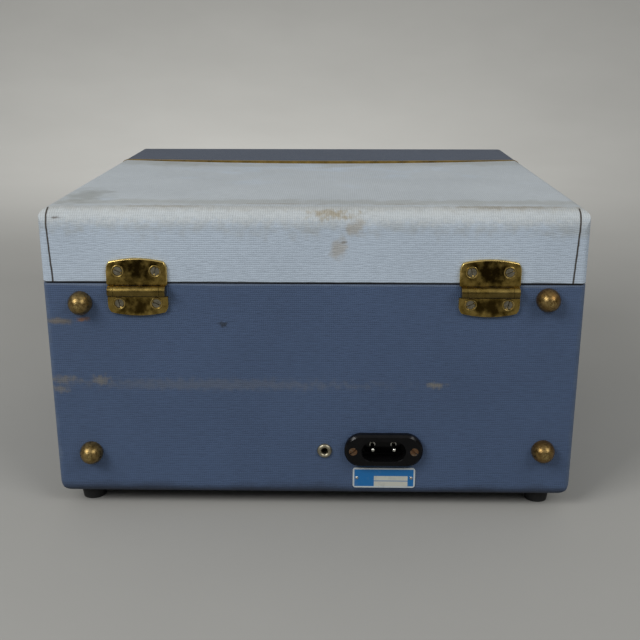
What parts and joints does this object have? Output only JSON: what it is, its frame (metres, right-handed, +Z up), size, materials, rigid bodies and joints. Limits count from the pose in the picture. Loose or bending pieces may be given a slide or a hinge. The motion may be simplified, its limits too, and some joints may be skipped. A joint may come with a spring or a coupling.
{
  "type": "reel-to-reel tape recorder",
  "caption": "Portable reel-to-reel tape recorder in a cloth-covered carrying case with a hinged lid over its deck, and a mains inlet and jack at the back.",
  "frame": {"origin": "on the floor, under the middle of the whole machine's box", "axes": "+Z up, +Y to the back with the hinges and sockets, -Y to the front with the handle, +X right seen from the front"},
  "size_m": [0.34, 0.348, 0.2027],
  "materials": {
    "slate_cloth": "plywood covered in slate-blue leathercloth",
    "pale_cloth": "ply covered in pale grey-blue ribbed cloth",
    "hood_cloth": "ply covered in dark slate leathercloth",
    "plywood": "bare plywood",
    "rubber": "black rubber",
    "brass": "tarnished brass",
    "gilt": "gilt metal",
    "steel": "plain steel",
    "nickel": "nickel plate",
    "bakelite": "black moulded plastic",
    "lining": "ivory lining cloth",
    "deck_paint": "ivory stove enamel",
    "cover_plastic": "dark slate moulding",
    "ivory_plastic": "ivory moulding",
    "red_plastic": "red moulding",
    "reel_plastic": "pale reel moulding",
    "tape": "brown oxide tape",
    "iron": "black-painted iron",
    "paper": "black cone paper",
    "glass": "valve glass"
  },
  "bodies": {
    "case": {"case_wrap": "slate_cloth", "case_back": "slate_cloth", "case_front": "slate_cloth", "deck_battens": "plywood", "rubber_feet": "rubber", "back_studs": "brass", "hinge_body_leaves": "brass", "hinge_pins": "steel", "case_screws": "steel", "mains_inlet": "bakelite", "inlet_pins": "nickel", "jack_socket": "nickel", "handle_brackets": "brass", "lock_cases": "brass", "speaker_grille": "gilt", "speaker_frame": "iron", "speaker_cone": "paper", "deck_plate": "deck_paint", "head_cover": "cover_plastic", "tape_heads": "nickel", "tape_guides": "nickel", "tape_run": "tape", "bearing_sleeves": "brass", "drive_belts": "rubber", "motor_body": "iron", "control_frame": "steel", "tuning_eye": "glass", "amp_chassis": "steel", "power_supply": "iron", "valves": "glass"},
    "lid": {"lid_top": "pale_cloth", "lid_sides": "pale_cloth", "lid_front": "hood_cloth", "gilt_bead": "gilt", "lid_lining": "lining", "lid_seal": "rubber", "hinge_lid_leaves": "brass", "lid_screws": "steel", "lock_strikes": "brass"},
    "handle": {"carry_handle": "bakelite"},
    "bolt_left": {"lock_bolt_left": "brass"},
    "bolt_right": {"lock_bolt_right": "brass"},
    "supply": {"supply_reel": "reel_plastic", "supply_pack": "tape", "supply_turntable": "steel"},
    "takeup": {"takeup_reel": "reel_plastic", "takeup_pack": "tape", "takeup_turntable": "steel"},
    "capstan": {"capstan_shaft": "steel", "capstan_flywheel": "steel"},
    "rotor": {"motor_rotor": "steel"},
    "pinch": {"pinch_arm": "steel"},
    "roller": {"pinch_roller": "rubber"},
    "record": {"key_record": "red_plastic"},
    "rewind": {"key_rewind": "ivory_plastic"},
    "stop": {"key_stop": "ivory_plastic"},
    "play": {"key_play": "ivory_plastic"},
    "forward": {"key_forward": "ivory_plastic"},
    "volume": {"volume_knob": "ivory_plastic"},
    "tone": {"tone_knob": "ivory_plastic"}
  },
  "joints": [
    {"name": "lid_hinge", "type": "hinge", "parent": "case", "child": "lid", "pos_m": [0, 0.1677, 0.151], "axis": [-1, 0, 0], "range_deg": [0, 105]},
    {"name": "handle_swing", "type": "hinge", "parent": "case", "child": "handle", "pos_m": [0, -0.167, 0.137], "axis": [-1, 0, 0], "range_deg": [0, 100]},
    {"name": "bolt_left_slide", "type": "slide", "parent": "case", "child": "bolt_left", "axis": [1, 0, 0], "range_m": [0, 0.006]},
    {"name": "bolt_right_slide", "type": "slide", "parent": "case", "child": "bolt_right", "axis": [-1, 0, 0], "range_m": [0, 0.006]},
    {"name": "supply_spin", "type": "hinge", "parent": "case", "child": "supply", "pos_m": [-0.076, 0.063, 0.149], "axis": [0, 0, 1], "continuous": true},
    {"name": "takeup_spin", "type": "hinge", "parent": "case", "child": "takeup", "pos_m": [0.076, 0.063, 0.149], "axis": [0, 0, 1], "continuous": true},
    {"name": "capstan_spin", "type": "hinge", "parent": "case", "child": "capstan", "pos_m": [0.04, -0.0305, 0.149], "axis": [0, 0, 1], "continuous": true},
    {"name": "rotor_spin", "type": "hinge", "parent": "case", "child": "rotor", "pos_m": [-0.078, -0.0245, 0.149], "axis": [0, 0, 1], "continuous": true},
    {"name": "pinch_swing", "type": "hinge", "parent": "case", "child": "pinch", "pos_m": [0.072, -0.057, 0.151], "axis": [0, 0, -1], "range_deg": [0, 8]},
    {"name": "roller_spin", "type": "hinge", "parent": "pinch", "child": "roller", "pos_m": [0.03836, -0.04759, 0.155], "axis": [0, 0, 1], "continuous": true},
    {"name": "key_record_press", "type": "hinge", "parent": "case", "child": "record", "pos_m": [-0.042, -0.092, 0.14], "axis": [1, 0, 0], "range_deg": [0, 6], "stiffness_Nm_per_rad": 0.15, "springref_deg": -8.59},
    {"name": "key_rewind_press", "type": "hinge", "parent": "case", "child": "rewind", "pos_m": [-0.021, -0.092, 0.14], "axis": [1, 0, 0], "range_deg": [0, 6], "stiffness_Nm_per_rad": 0.15, "springref_deg": -8.59},
    {"name": "key_stop_press", "type": "hinge", "parent": "case", "child": "stop", "pos_m": [0, -0.092, 0.14], "axis": [1, 0, 0], "range_deg": [0, 6], "stiffness_Nm_per_rad": 0.15, "springref_deg": -8.59},
    {"name": "key_play_press", "type": "hinge", "parent": "case", "child": "play", "pos_m": [0.021, -0.092, 0.14], "axis": [1, 0, 0], "range_deg": [0, 6], "stiffness_Nm_per_rad": 0.15, "springref_deg": -8.59},
    {"name": "key_forward_press", "type": "hinge", "parent": "case", "child": "forward", "pos_m": [0.042, -0.092, 0.14], "axis": [1, 0, 0], "range_deg": [0, 6], "stiffness_Nm_per_rad": 0.15, "springref_deg": -8.59},
    {"name": "volume_turn", "type": "hinge", "parent": "case", "child": "volume", "pos_m": [0.105, -0.107, 0.15], "axis": [0, 0, -1], "range_deg": [0, 280]},
    {"name": "tone_turn", "type": "hinge", "parent": "case", "child": "tone", "pos_m": [-0.105, -0.107, 0.15], "axis": [0, 0, -1], "range_deg": [0, 280]}
  ],
  "couplings": [
    {"joint": "rotor_spin", "follows": "capstan_spin", "ratio": 5.25},
    {"joint": "pinch_swing", "follows": "key_play_press", "ratio": 1.3333}
  ]
}
